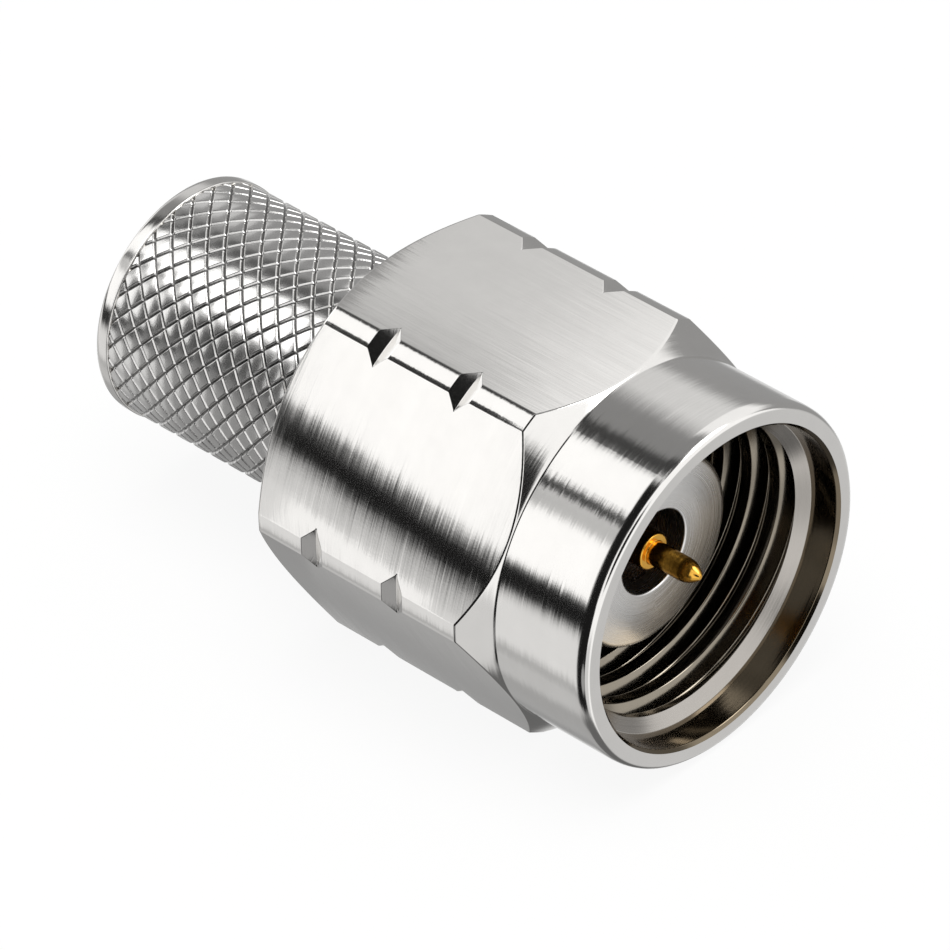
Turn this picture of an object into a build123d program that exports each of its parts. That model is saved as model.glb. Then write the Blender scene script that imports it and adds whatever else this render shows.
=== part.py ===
from build123d import *

import math
import os

# Coaxial termination, male, air-dielectric interface. Millimetres, +Z up.
# The axis is X and the mating end looks along +X. The origin is the centre of the
# mating plane, where the outer and the inner conductor end.
# Stations along the axis are named ..._X, radii ..._R and lengths ..._LEN.

# Running and seating clearances
NUT_RUN = 0.05        # coupling nut on the flange that carries it, on the radius
NUT_FLOAT = 0.10      # axial float of the nut each way
NUT_STOP = 0.05       # what the nut still keeps from a stop at the end of its float
RING_FREE = 0.02      # retaining ring to the bottom of a groove
RING_SIDE = 0.01      # retaining ring to the sides of the nut's groove
FIT = 0.01            # close fit of two turned inner pieces, on the radius
CUT_PAST = 0.5        # how far a tool's shape runs past the face it cuts
SLIP = 0.02           # easy fit of the load in the sleeve, on the radius

# Interface: bore, inner conductor and contact pin
BORE_R = 0.925        # air line bore of the outer conductor
CORE_R = 0.402        # inner conductor that gives 50 ohm in that bore
PIN_R = 0.2555        # contact pin
PIN_LEN = 1.23        # pin beyond the mating plane
PIN_NOSE_LEN = 0.44   # rounded nose of the pin
PIN_TIP_R = 0.05      # flat left at the very tip
FERRULE_R = 2.12      # outer conductor round the mating face
FERRULE_ROUND = 0.10  # rounding of the ferrule's front edge

# Coupling nut
HEX_AF = 8.0          # across the flats
HEX_TURNED_R = 4.50   # the hexagon's corners are turned down to this radius
COLLAR_R = 3.97       # round collar in front of the hexagon
NUT_FRONT_X = 1.79    # front face of the collar
HEX_FRONT_X = -1.19   # front end of the turned corners
HEX_LEN = 5.36        # length of the turned corners
FRONT_SLOPE = 1.07    # length of the front cone for each unit of radius
REAR_SLOPE = 0.70     # length of the rear cone for each unit of radius
NUT_REAR_R = 3.65     # where the rear cone meets the rear face
CONE_ROOT_ROUND = 0.18
RIM_ROUND = 0.20      # outer edge of the collar's face
RIM_BREAK = 0.07      # inner edge of the collar's face
CORNER_CUT_FRONT = 1.70   # from the front end of the corners to the first V cut
CORNER_CUT_GAP = 2.19     # from the first V cut to the second
CORNER_CUT_HALF = 0.28    # half width of a V cut
CORNER_CUT_DEPTH = 0.135
RIM_WALL = 0.47           # wall of the collar round the counterbore
COUNTERBORE_LEN = 0.67
LEDGE_WIDTH = 0.06        # ledge between the counterbore and the lead-in cone
LEAD_LEN = 0.19
THREAD_HEIGHT = 0.33      # from the roots of the M7 x 0.75 thread to its crests
THREAD_LEN = 2.93
RELIEF_DEPTH = 0.05       # relief behind the thread, beyond its roots
RELIEF_LEN = 0.45

# Flange of the outer conductor, the retaining ring and its grooves
FLANGE_R = 2.70
FLANGE_FRONT_X = -2.55
FLANGE_LEN = 2.35
RING_X = -3.35        # middle of the ring
RING_WIDTH = 0.30
RING_DEPTH = 0.34     # radial height of the ring's section
NUT_GROOVE_DEPTH = 0.15   # part of the ring's section that springs out into the nut
RING_GAP = 0.80       # width of the split

# Knurled sleeve
KNURL_R = 2.65        # flats of the knurl
KNURL_DEPTH = 0.055   # depth of the V grooves where they cross
KNURL_STARTS = 28     # grooves of each hand round the sleeve
KNURL_PITCH = 0.498   # from one diamond to the next along the axis
KNURL_ROWS = 11
KNURL_LAND = 0.80     # share of a diamond that is left flat
KNURL_TURN = 3.5      # angle of the first diamond from the flats of the nut
KNURL_UNDER_LIP = 0.11    # the knurl runs on under the lip by this much
LIP_R = 2.68
LIP_LEN = 0.36
LIP_ROUND = 0.14
NECK_R = 2.50         # plain front of the sleeve, inside the nut
NECK_RUN = 0.10       # neck to the nut's rear bore, on the radius
SLEEVE_END_WALL = 0.85
SPIGOT_R = 2.05       # rear of the outer conductor, screwed into the sleeve
SPIGOT_LEN = 1.50
SPIGOT_SPARE = 0.10   # depth of the sleeve's socket beyond the spigot

# Bead, inner conductor and clamp bushing
CHAMBER_R = 1.50      # rear bore of the outer conductor
LINE_LEN = 1.60       # air line from the mating plane to the bead
BEAD_RING_LEN = 0.70
BEAD_RING_INNER_R = 1.10
BEAD_LEN = 0.60
BEAD_HOLES = 6
BEAD_HOLE_R = 0.17
BEAD_HOLE_CIRCLE_R = 0.70
NECK_CORE_R = 0.29    # inner conductor inside the bead
STUD_R = 0.20
STUD_LEN = 0.42
SOCKET_LEN = 1.72
SOCKET_STUD_DEPTH = 0.47
SOCKET_BORE_R = 0.20
SOCKET_BORE_LEN = 0.90
SOCKET_SLOT_LEN = 0.70
SOCKET_SLOT_WIDTH = 0.08
BUSHING_LEN = 1.80
DRIVE_SLOT_WIDTH = 0.30
DRIVE_SLOT_DEPTH = 0.30

# Load: resistor rod, its caps, tapered housing, collet and spring
ROD_R = 0.40
ROD_LEN = 4.65
CAP_WALL = 0.035
CAP_END = 0.20
FRONT_CAP_OVER = 0.30     # how far the front cap reaches over the rod
REAR_CAP_OVER = 0.22
LEAD_LEN_FREE = 0.80      # lead of the front cap
CAP_TO_SOCKET = 0.05
HOUSING_FRONT_LEN = 2.35
HOUSING_R = 1.86
HOUSING_LEN = 6.50
HORN_LEN = 4.70           # tapered bore round the rod
HORN_END_R = 0.46
HORN_BELLY = 0.55         # how full the horn's curve is, 0.5 is a plain cone
COLLET_BORE_R = 1.05
COLLET_LEN = 1.15
COLLET_SLOTS = 4
COLLET_SLOT_WIDTH = 0.12
COLLET_SLOT_LEN = 0.80
LOCK_LEN = 0.58
LOCK_BORE_R = 0.35
SEAT_R = 1.80
SEAT_LEN = 0.20
SEAT_BORE_R = 0.55
SPRING_COIL_R = 1.35
SPRING_WIRE_R = 0.13
SPRING_COUNT = 3.5    # turns

# Stations worked out from the sizes above
FLANGE_REAR_X = FLANGE_FRONT_X - FLANGE_LEN
SPIGOT_END_X = FLANGE_REAR_X - SPIGOT_LEN
FLANGE_BORE_R = FLANGE_R + NUT_RUN
RING_OUTER_R = FLANGE_BORE_R + NUT_GROOVE_DEPTH - RING_FREE
RING_ROOT_R = FLANGE_BORE_R - RING_DEPTH - RING_FREE
HEX_REAR_X = HEX_FRONT_X - HEX_LEN
COLLAR_BACK_X = HEX_FRONT_X + FRONT_SLOPE * (HEX_TURNED_R - COLLAR_R)
COUNTERBORE_R = COLLAR_R - RIM_WALL
THREAD_CREST_R = COUNTERBORE_R - THREAD_HEIGHT
RELIEF_R = COUNTERBORE_R + RELIEF_DEPTH
NUT_REAR_X = HEX_REAR_X - REAR_SLOPE * (HEX_TURNED_R - NUT_REAR_R)
KNURL_FRONT_X = NUT_REAR_X - NUT_FLOAT - NUT_STOP
KNURL_REAR_X = KNURL_FRONT_X - KNURL_ROWS * KNURL_PITCH
LIP_FRONT_X = KNURL_REAR_X + KNURL_UNDER_LIP
SLEEVE_REAR_X = LIP_FRONT_X - LIP_LEN
BEAD_RING_X = -LINE_LEN
BEAD_X = BEAD_RING_X - (BEAD_RING_LEN - BEAD_LEN) / 2
CORE_STEP_X = BEAD_X
SOCKET_X = BEAD_X - BEAD_LEN
BUSHING_X = BEAD_RING_X - BEAD_RING_LEN
HOUSING_X = BUSHING_X - BUSHING_LEN
FRONT_CAP_X = SOCKET_X - SOCKET_LEN - CAP_TO_SOCKET
ROD_X = FRONT_CAP_X - CAP_END
ROD_END_X = ROD_X - ROD_LEN
REAR_CAP_END_X = ROD_END_X - CAP_END
COLLET_X = HOUSING_X - HORN_LEN
LOCK_X = COLLET_X - COLLET_LEN
HOUSING_END_X = HOUSING_X - HOUSING_LEN
SEAT_X = HOUSING_END_X
SPRING_X = SEAT_X - SEAT_LEN
SLEEVE_FLOOR_X = SLEEVE_REAR_X + SLEEVE_END_WALL


def turned(points, rounds=()):
    """Solid of revolution of a closed (x, radius) outline, with some corners rounded.

    rounds holds (index of a point, radius) pairs.
    """
    face = make_face(Polyline(*points, close=True))
    for index, radius in rounds:
        corner = Vector(*points[index])
        near = face.vertices().sort_by(lambda v: (Vector(v.X, v.Y, v.Z) - corner).length)[0]
        face = fillet(near, radius)
    return revolve(face, axis=Axis.X)


def tube(x_front, x_rear, outer_r, inner_r):
    """Plain ring between two stations."""
    return turned([(x_front, inner_r), (x_front, outer_r), (x_rear, outer_r), (x_rear, inner_r)])


def rod(x_front, x_rear, radius):
    """Plain round bar between two stations."""
    return turned([(x_front, 0), (x_front, radius), (x_rear, radius), (x_rear, 0)])


def cross_slots(x_front, x_rear, width, reach, count):
    """Radial slots, evenly spaced, as blades to be cut away from a round piece."""
    middle, length = (x_front + x_rear) / 2, abs(x_front - x_rear)
    blade = Pos(middle, reach / 2, 0) * Box(length, reach, width)
    return [Rot(X=360 / count * i + 180 / count) * blade for i in range(count)]


def corner_cuts():
    """The (x, radius) points of the two V cuts in the hexagon's corners, front to rear."""
    points = []
    for i in range(2):
        middle = HEX_FRONT_X - CORNER_CUT_FRONT - i * CORNER_CUT_GAP
        points += [
            (middle + CORNER_CUT_HALF, HEX_TURNED_R),
            (middle, HEX_TURNED_R - CORNER_CUT_DEPTH),
            (middle - CORNER_CUT_HALF, HEX_TURNED_R),
        ]
    return points


def coupling_nut():
    """Hexagon nut with turned collar, turned corners and the bored, threaded inside."""
    length = NUT_FRONT_X - NUT_REAR_X
    hexagon = RegularPolygon(HEX_AF / 2, 6, major_radius=False)
    bar = Pos(NUT_REAR_X, 0, 0) * extrude(Plane.YZ * hexagon, amount=length)
    outside = [
        (NUT_FRONT_X, 0), (NUT_FRONT_X, COLLAR_R), (COLLAR_BACK_X, COLLAR_R),
        (HEX_FRONT_X, HEX_TURNED_R), *corner_cuts(), (HEX_REAR_X, HEX_TURNED_R),
        (NUT_REAR_X, NUT_REAR_R), (NUT_REAR_X, 0),
    ]
    form = turned(outside, rounds=[(1, RIM_ROUND), (2, CONE_ROOT_ROUND)])
    return (bar & form) - nut_inside()


def nut_inside():
    """Space inside the nut: counterbore, lead-in, thread bore, relief, ring groove, rear bore."""
    ledge_x = NUT_FRONT_X - COUNTERBORE_LEN
    lead_end_x = ledge_x - LEAD_LEN
    thread_end_x = lead_end_x - THREAD_LEN
    relief_end_x = thread_end_x - RELIEF_LEN
    shoulder_x = FLANGE_REAR_X - NUT_FLOAT - NUT_STOP
    groove_r = FLANGE_BORE_R + NUT_GROOVE_DEPTH
    groove_half = RING_WIDTH / 2 + RING_SIDE
    points = [
        (NUT_FRONT_X + CUT_PAST, 0), (NUT_FRONT_X + CUT_PAST, COUNTERBORE_R + RIM_BREAK + CUT_PAST),
        (NUT_FRONT_X, COUNTERBORE_R + RIM_BREAK), (NUT_FRONT_X - RIM_BREAK, COUNTERBORE_R),
        (ledge_x, COUNTERBORE_R), (ledge_x, COUNTERBORE_R - LEDGE_WIDTH),
        (lead_end_x, THREAD_CREST_R), (thread_end_x, THREAD_CREST_R),
        (thread_end_x, RELIEF_R), (relief_end_x, RELIEF_R), (relief_end_x, FLANGE_BORE_R),
        (RING_X + groove_half, FLANGE_BORE_R), (RING_X + groove_half, groove_r),
        (RING_X - groove_half, groove_r), (RING_X - groove_half, FLANGE_BORE_R),
        (shoulder_x, FLANGE_BORE_R), (shoulder_x, NECK_R + NECK_RUN),
        (NUT_REAR_X - CUT_PAST, NECK_R + NECK_RUN), (NUT_REAR_X - CUT_PAST, 0),
    ]
    return turned(points)


def retaining_ring():
    """Split spring ring that ties the nut to the flange."""
    half = RING_WIDTH / 2
    ring = tube(RING_X + half, RING_X - half, RING_OUTER_R, RING_OUTER_R - RING_DEPTH)
    split = Box(2 * RING_WIDTH, RING_GAP, 2 * RING_DEPTH)
    return ring - Pos(RING_X, 0, RING_OUTER_R - RING_DEPTH / 2) * split


def outer_conductor():
    """Ferrule with the mating face, flange with the ring groove, and the rear spigot."""
    groove_half = RING_WIDTH / 2 + NUT_FLOAT + RING_SIDE
    points = [
        (0, BORE_R), (0, FERRULE_R), (FLANGE_FRONT_X, FERRULE_R), (FLANGE_FRONT_X, FLANGE_R),
        (RING_X + groove_half, FLANGE_R), (RING_X + groove_half, RING_ROOT_R),
        (RING_X - groove_half, RING_ROOT_R), (RING_X - groove_half, FLANGE_R),
        (FLANGE_REAR_X, FLANGE_R), (FLANGE_REAR_X, SPIGOT_R), (SPIGOT_END_X, SPIGOT_R),
        (SPIGOT_END_X, CHAMBER_R), (BEAD_RING_X, CHAMBER_R), (BEAD_RING_X, BORE_R),
    ]
    return turned(points, rounds=[(1, FERRULE_ROUND)])


def centre_pin():
    """Contact pin with its rounded nose, the inner conductor and the stud behind the bead."""
    nose_x = PIN_LEN - PIN_NOSE_LEN
    rise = PIN_R - PIN_TIP_R
    nose_r = (PIN_NOSE_LEN ** 2 + rise ** 2) / (2 * rise)
    middle = math.asin(PIN_NOSE_LEN / nose_r) / 2
    half_way = (nose_x + nose_r * math.sin(middle), PIN_R - nose_r * (1 - math.cos(middle)))
    stud_end_x = SOCKET_X - STUD_LEN
    nose = ThreePointArc((nose_x, PIN_R), half_way, (PIN_LEN, PIN_TIP_R))
    rest = Polyline(
        (PIN_LEN, PIN_TIP_R), (PIN_LEN, 0), (stud_end_x, 0), (stud_end_x, STUD_R),
        (SOCKET_X, STUD_R), (SOCKET_X, NECK_CORE_R), (CORE_STEP_X, NECK_CORE_R),
        (CORE_STEP_X, CORE_R), (0, CORE_R), (0, PIN_R), (nose_x, PIN_R),
    )
    return revolve(make_face(nose + rest), axis=Axis.X)


def bead_ring():
    """Metal ring that carries the bead."""
    rear_x = BEAD_RING_X - BEAD_RING_LEN
    return tube(BEAD_RING_X, rear_x, CHAMBER_R - FIT, BEAD_RING_INNER_R)


def support_bead():
    """Polymer bead with air holes, which holds the inner conductor in the middle."""
    bead = tube(BEAD_X, SOCKET_X, BEAD_RING_INNER_R - FIT, NECK_CORE_R + FIT)
    hole = Rot(Y=90) * Cylinder(BEAD_HOLE_R, 2 * BEAD_LEN)
    for i in range(BEAD_HOLES):
        bead -= Rot(X=360 / BEAD_HOLES * i) * Pos((BEAD_X + SOCKET_X) / 2, BEAD_HOLE_CIRCLE_R, 0) * hole
    return bead


def contact_socket():
    """Inner conductor behind the bead: stud hole in front, slotted socket at the rear."""
    rear_x = SOCKET_X - SOCKET_LEN
    bore_x = rear_x + SOCKET_BORE_LEN
    piece = rod(SOCKET_X, rear_x, CORE_R)
    piece -= rod(SOCKET_X, SOCKET_X - SOCKET_STUD_DEPTH, STUD_R + FIT)
    piece -= rod(bore_x, rear_x, SOCKET_BORE_R)
    for blade in cross_slots(rear_x + SOCKET_SLOT_LEN, rear_x, SOCKET_SLOT_WIDTH, CORE_R + FIT, 4):
        piece -= blade
    return piece


def clamp_bushing():
    """Threaded bushing that presses the bead ring home and carries the air line on."""
    rear_x = BUSHING_X - BUSHING_LEN
    piece = tube(BUSHING_X, rear_x, CHAMBER_R - FIT, BORE_R)
    slot = Box(2 * DRIVE_SLOT_DEPTH, 2 * CHAMBER_R, DRIVE_SLOT_WIDTH)
    return piece - Pos(rear_x, 0, 0) * slot


def load_housing():
    """Stepped housing with the tapered horn round the resistor and the collet's seat behind."""
    step_x = HOUSING_X - HOUSING_FRONT_LEN
    horn_middle = (
        HOUSING_X - HORN_LEN / 2,
        HORN_END_R + (BORE_R - HORN_END_R) * (1 - HORN_BELLY),
    )
    horn = ThreePointArc((COLLET_X, HORN_END_R), horn_middle, (HOUSING_X, BORE_R))
    rest = Polyline(
        (HOUSING_X, BORE_R), (HOUSING_X, CHAMBER_R - FIT), (step_x, CHAMBER_R - FIT),
        (step_x, HOUSING_R), (HOUSING_END_X, HOUSING_R), (HOUSING_END_X, COLLET_BORE_R),
        (COLLET_X, COLLET_BORE_R), (COLLET_X, HORN_END_R),
    )
    return revolve(make_face(horn + rest), axis=Axis.X)


def resistor_rod():
    """Ceramic rod with the resistive film on it."""
    return rod(ROD_X, ROD_END_X, ROD_R)


def rod_cap(x_end, x_rod, over):
    """Metal cup over one end of the rod. x_end is its outer end, x_rod the rod's end."""
    inner_r = ROD_R + FIT
    away = math.copysign(1, x_rod - x_end)
    return rod(x_end, x_rod + away * over, inner_r + CAP_WALL) - rod(x_rod, x_rod + away * 2 * over, inner_r)


def front_cap():
    """Cap with the lead that plugs into the contact socket."""
    cap = rod_cap(FRONT_CAP_X, ROD_X, FRONT_CAP_OVER)
    return cap + rod(FRONT_CAP_X + LEAD_LEN_FREE, FRONT_CAP_X, SOCKET_BORE_R - FIT)


def rear_cap():
    """Cap at the grounded end of the rod."""
    return rod_cap(REAR_CAP_END_X, ROD_END_X, REAR_CAP_OVER)


def ground_collet():
    """Slotted collet that grips the rear cap and grounds it in the housing."""
    rear_x = LOCK_X
    grip_r = ROD_R + 2 * FIT + CAP_WALL
    piece = tube(COLLET_X, rear_x, COLLET_BORE_R - FIT, grip_r)
    for blade in cross_slots(COLLET_X, COLLET_X - COLLET_SLOT_LEN, COLLET_SLOT_WIDTH,
                             COLLET_BORE_R, COLLET_SLOTS):
        piece -= blade
    return piece


def lock_ring():
    """Threaded ring behind the collet, with a slot to drive it."""
    rear_x = LOCK_X - LOCK_LEN
    piece = tube(LOCK_X, rear_x, COLLET_BORE_R - FIT, LOCK_BORE_R)
    return piece - Pos(rear_x, 0, 0) * Box(DRIVE_SLOT_DEPTH, 2 * COLLET_BORE_R, DRIVE_SLOT_WIDTH)


def spring_seat():
    """Washer between the housing and its spring."""
    return tube(SEAT_X, SEAT_X - SEAT_LEN, SEAT_R, SEAT_BORE_R)


def load_spring():
    """Coil spring that presses the housing forward on to the clamp bushing."""
    start_x = SPRING_X - SPRING_WIRE_R
    length = start_x - (SLEEVE_FLOOR_X + SPRING_WIRE_R)
    path = Helix(pitch=length / SPRING_COUNT, height=length, radius=SPRING_COIL_R)
    section = Plane(origin=path @ 0, z_dir=path % 0) * Circle(SPRING_WIRE_R)
    return Pos(start_x, 0, 0) * (Rot(Y=-90) * sweep(section, path=path, is_frenet=True))


def knurl_point(x, steps, radius):
    """Point on the sleeve, with its angle in half diamonds round the axis."""
    angle = math.pi / KNURL_STARTS * steps
    return (x, radius * math.cos(angle), radius * math.sin(angle))


def knurl_section(x, first, root_r, land_r, land_turn):
    """End face of the knurl: grooves at root_r between lands that are flat across."""
    points = []
    for i in range(KNURL_STARTS):
        steps = first + 2 * i
        points += [
            knurl_point(x, steps - 1, root_r),
            knurl_point(x, steps - land_turn, land_r),
            knurl_point(x, steps + land_turn, land_r),
        ]
    return Face(Wire.make_polygon([Vector(*p) for p in points]))


def knurl():
    """Closed solid of the diamond knurl: flat-topped diamonds with planar groove flanks.

    Each diamond has four corners in one plane, two on the middle line at KNURL_R and two
    beside it. The grooves cross at KNURL_R less the depth. The half width of a land is the
    one that makes the four flanks planar.
    """
    half_x = KNURL_PITCH / 2
    step = math.pi / KNURL_STARTS
    root_r = KNURL_R - KNURL_DEPTH
    land_x = half_x * KNURL_LAND
    drop_side = KNURL_R - root_r * math.cos(step)
    land_y = (land_x * KNURL_DEPTH * root_r * math.sin(step)
              / ((half_x - land_x) * drop_side + land_x * KNURL_DEPTH))
    land_r = math.hypot(KNURL_R, land_y)
    land_turn = math.atan2(land_y, KNURL_R) / step

    faces = []
    columns = 2 * KNURL_ROWS
    for column in range(columns + 1):
        x = KNURL_REAR_X + column * half_x
        sides = [s for s in (-1, 1) if 0 <= column + s <= columns]
        for start in range(KNURL_STARTS):
            mid = column % 2 + 2 * start
            upper = knurl_point(x, mid + land_turn, land_r)
            lower = knurl_point(x, mid - land_turn, land_r)
            top = knurl_point(x, mid + 1, root_r)
            bottom = knurl_point(x, mid - 1, root_r)
            tips = [knurl_point(x + s * land_x, mid, KNURL_R) for s in sides]
            ends = [knurl_point(x + s * half_x, mid, root_r) for s in sides]
            faces.append([upper, tips[0], lower] + tips[1:])
            for tip, end in zip(tips, ends):
                faces += [[upper, top, end, tip], [lower, tip, end, bottom]]
    skin = [Face(Wire.make_polygon([Vector(*p) for p in face])) for face in faces]
    ends = [knurl_section(KNURL_REAR_X + c * half_x, c % 2, root_r, land_r, land_turn)
            for c in (0, columns)]
    return Solid(Shell(skin + ends))


def knurled_sleeve():
    """Rear body: knurled barrel with a plain lip, closed at the rear, and the neck in front."""
    lip = turned(
        [(LIP_FRONT_X, 0), (LIP_FRONT_X, LIP_R), (SLEEVE_REAR_X, LIP_R), (SLEEVE_REAR_X, 0)],
        rounds=[(2, LIP_ROUND)],
    )
    neck = rod(FLANGE_REAR_X, KNURL_FRONT_X, NECK_R)
    socket_floor_x = SPIGOT_END_X - SPIGOT_SPARE
    inside = turned([
        (FLANGE_REAR_X + CUT_PAST, 0), (FLANGE_REAR_X + CUT_PAST, SPIGOT_R + FIT),
        (socket_floor_x, SPIGOT_R + FIT), (socket_floor_x, HOUSING_R + SLIP),
        (SLEEVE_FLOOR_X, HOUSING_R + SLIP), (SLEEVE_FLOOR_X, 0),
    ])
    return Rot(X=KNURL_TURN) * knurl() + lip + neck - inside


PIECES = {
    "coupling_nut": coupling_nut,
    "retaining_ring": retaining_ring,
    "outer_conductor": outer_conductor,
    "centre_pin": centre_pin,
    "bead_ring": bead_ring,
    "support_bead": support_bead,
    "contact_socket": contact_socket,
    "clamp_bushing": clamp_bushing,
    "load_housing": load_housing,
    "resistor_rod": resistor_rod,
    "front_cap": front_cap,
    "rear_cap": rear_cap,
    "ground_collet": ground_collet,
    "lock_ring": lock_ring,
    "spring_seat": spring_seat,
    "load_spring": load_spring,
    "knurled_sleeve": knurled_sleeve,
}

os.makedirs("parts", exist_ok=True)
for name, make in PIECES.items():
    export_step(make(), f"parts/{name}.step")
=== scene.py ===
"""Looks of a male coaxial termination: coupling nut, ferrule, contact pin and knurled sleeve.

Every size is in millimetres in the frame of the solids: +X along the axis towards the
mating end, +Z up, origin at the centre of the mating plane. Angles go from +Y towards +Z.
"""

import logging
import math
from collections.abc import Callable
from dataclasses import dataclass, field
from enum import Enum

import bmesh
import bpy
import numpy as np
from mathutils import Matrix, Vector


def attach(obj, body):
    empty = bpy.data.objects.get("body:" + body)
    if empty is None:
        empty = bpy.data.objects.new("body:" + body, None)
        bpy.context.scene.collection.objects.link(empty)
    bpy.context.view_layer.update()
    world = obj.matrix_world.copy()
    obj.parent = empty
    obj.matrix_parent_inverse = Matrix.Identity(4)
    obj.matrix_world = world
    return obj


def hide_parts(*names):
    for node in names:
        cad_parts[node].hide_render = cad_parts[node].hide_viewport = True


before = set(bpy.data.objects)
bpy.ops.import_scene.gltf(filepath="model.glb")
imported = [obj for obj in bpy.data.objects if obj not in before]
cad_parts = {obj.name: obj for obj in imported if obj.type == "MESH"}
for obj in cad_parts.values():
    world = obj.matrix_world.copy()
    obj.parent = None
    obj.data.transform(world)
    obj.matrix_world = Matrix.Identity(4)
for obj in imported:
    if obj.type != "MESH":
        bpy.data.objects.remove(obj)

LOG = logging.getLogger("termination")
MM = 0.001
TURN = 2 * math.pi
TINY = 1e-12         # keeps a division by a length of nothing from failing
MAP_RADIUS = 4.0     # millimetres of texture width for each radian round the axis
LINE_SHARE = 0.45    # largest share of a line that a rounding at one of its ends takes

Array = np.ndarray
Colour = tuple[float, float, float]


class Body(Enum):
    """Rigid bodies that the pieces made here ride on."""

    LOAD = "load_body"
    NUT = "nut"


# Mesh helpers


@dataclass
class Patch:
    """Part of a surface: vertices, faces and texture coordinates that belong together.

    points is (n, 3) in millimetres, quads is (m, 4) vertex numbers where a triangle
    repeats its last corner, and uv is (m, 4, 2).
    """

    points: Array
    quads: Array
    uv: Array


def join(patches: list[Patch]) -> Patch:
    """Put patches into one, with the vertex numbers moved on.

    Args:
        patches: the surfaces to put together.

    Returns:
        One patch that holds them all.
    """
    starts = np.cumsum([0] + [len(p.points) for p in patches[:-1]])
    return Patch(
        np.concatenate([p.points for p in patches]),
        np.concatenate([p.quads + s for p, s in zip(patches, starts)]),
        np.concatenate([p.uv for p in patches]),
    )


def weld(points: Array, quads: Array, step: float = 1e-5) -> tuple[Array, Array]:
    """Make vertices that share a place one vertex, by rounding their places to a fine step.

    Args:
        points: (n, 3) places in millimetres.
        quads: (m, 4) vertex numbers.
        step: the rounding step in millimetres.

    Returns:
        The places and the renumbered faces.
    """
    keys = np.round(points / step).astype(np.int64)
    _, first, inverse = np.unique(keys, axis=0, return_index=True, return_inverse=True)
    return points[first], inverse.reshape(-1)[quads]


def corner_normals(points: Array, quads: Array) -> Array:
    """Normal of each vertex: the sum of its faces' normals, each as long as twice the face.

    A face's normal is the cross product of its diagonals, so a wide face outweighs the
    narrow ones of a rounded edge and stays flat to the eye.

    Args:
        points: (n, 3) places.
        quads: (m, 4) vertex numbers.

    Returns:
        (n, 3) unit normals.
    """
    a, b, c, d = (points[quads[:, i]] for i in range(4))
    face = np.cross(c - a, d - b)
    total = np.zeros_like(points)
    for i in range(4):
        np.add.at(total, quads[:, i], face)
    length = np.linalg.norm(total, axis=1, keepdims=True)
    return total / np.maximum(length, TINY)


def to_mesh(name: str, patch: Patch, material: bpy.types.Material,
            bend: Callable[[Array, Array], Array] | None = None) -> bpy.types.Object:
    """Make a Blender object of a patch, with smooth faces, weighted normals and a UV map.

    Faces whose corners fall together are left out, and a quad with one doubled corner
    becomes a triangle.

    Args:
        name: name of the object and its mesh.
        patch: the surface.
        material: its material.
        bend: changes the shading normals, given the places and the normals.

    Returns:
        The object, linked to the scene, with its place in its mesh.
    """
    points, quads = weld(patch.points, patch.quads)
    following = np.roll(quads, -1, axis=1)
    keep = quads != following
    sides = keep.sum(1)
    whole = sides >= 3
    quads, keep, uv, sides = quads[whole], keep[whole], patch.uv[whole], sides[whole]
    normals = corner_normals(points, quads)
    if bend:
        normals = bend(points, normals)
    loops = quads[keep]
    mesh = bpy.data.meshes.new(name)
    mesh.vertices.add(len(points))
    mesh.vertices.foreach_set("co", (points * MM).astype(np.float32).ravel())
    mesh.loops.add(len(loops))
    mesh.loops.foreach_set("vertex_index", loops.astype(np.int32))
    mesh.polygons.add(len(sides))
    starts = np.concatenate([[0], np.cumsum(sides)[:-1]])
    mesh.polygons.foreach_set("loop_start", starts.astype(np.int32))
    mesh.polygons.foreach_set("use_smooth", np.ones(len(sides), bool))
    mesh.update(calc_edges=True)
    mesh.validate()
    layer = mesh.uv_layers.new(name="UVMap")
    layer.data.foreach_set("uv", uv[keep].astype(np.float32).ravel())
    mesh.normals_split_custom_set_from_vertices(normals.astype(np.float32))
    mesh.materials.append(material)
    made = bpy.data.objects.new(name, mesh)
    bpy.context.scene.collection.objects.link(made)
    return made


def values(items: object, key: str, width: int, kind: type) -> Array:
    """Read one property of every item of a mesh.

    Args:
        items: the mesh's vertices, loops, faces or map entries.
        key: name of the property.
        width: how many numbers it has.
        kind: the numbers' type.

    Returns:
        (n, width) numbers.
    """
    numbers = np.empty(len(items) * width, kind)
    items.foreach_get(key, numbers)
    return numbers.reshape(-1, width)


def around_axis(x: Array, r: Array | float, angle: Array) -> Array:
    """Places at stations x, radii r and the given angles: (x, r cos angle, r sin angle).

    Args:
        x: stations.
        r: radii.
        angle: angles in radians. The three are stretched to one shape.

    Returns:
        (n, 3) places, row by row.
    """
    parts = np.broadcast_arrays(x, r * np.cos(angle), r * np.sin(angle))
    return np.stack(parts, -1).reshape(-1, 3)


def cells(rows: int, columns: int, closed: bool = False) -> Array:
    """Faces of a grid of vertices that are numbered row by row.

    Args:
        rows: number of rows of vertices.
        columns: number of columns of vertices.
        closed: whether the last column joins the first.

    Returns:
        (m, 4) vertex numbers. A face goes to the next row first, then to the next column.
    """
    i = np.arange(rows - 1)[:, None] * columns
    j = np.arange(columns if closed else columns - 1)[None, :]
    k = (j + 1) % columns
    return np.stack([i + j, i + columns + j, i + columns + k, i + k], -1).reshape(-1, 4)


def cell_maps(grid: Array) -> Array:
    """Texture coordinates at the corners of each face of a grid.

    Args:
        grid: (rows, columns, 2) coordinates, with one column more than there are faces.

    Returns:
        (m, 4, 2) coordinates, with the corners in the order of cells.
    """
    return np.stack([grid[:-1, :-1], grid[1:, :-1], grid[1:, 1:], grid[:-1, 1:]], 2).reshape(-1, 4, 2)


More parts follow.
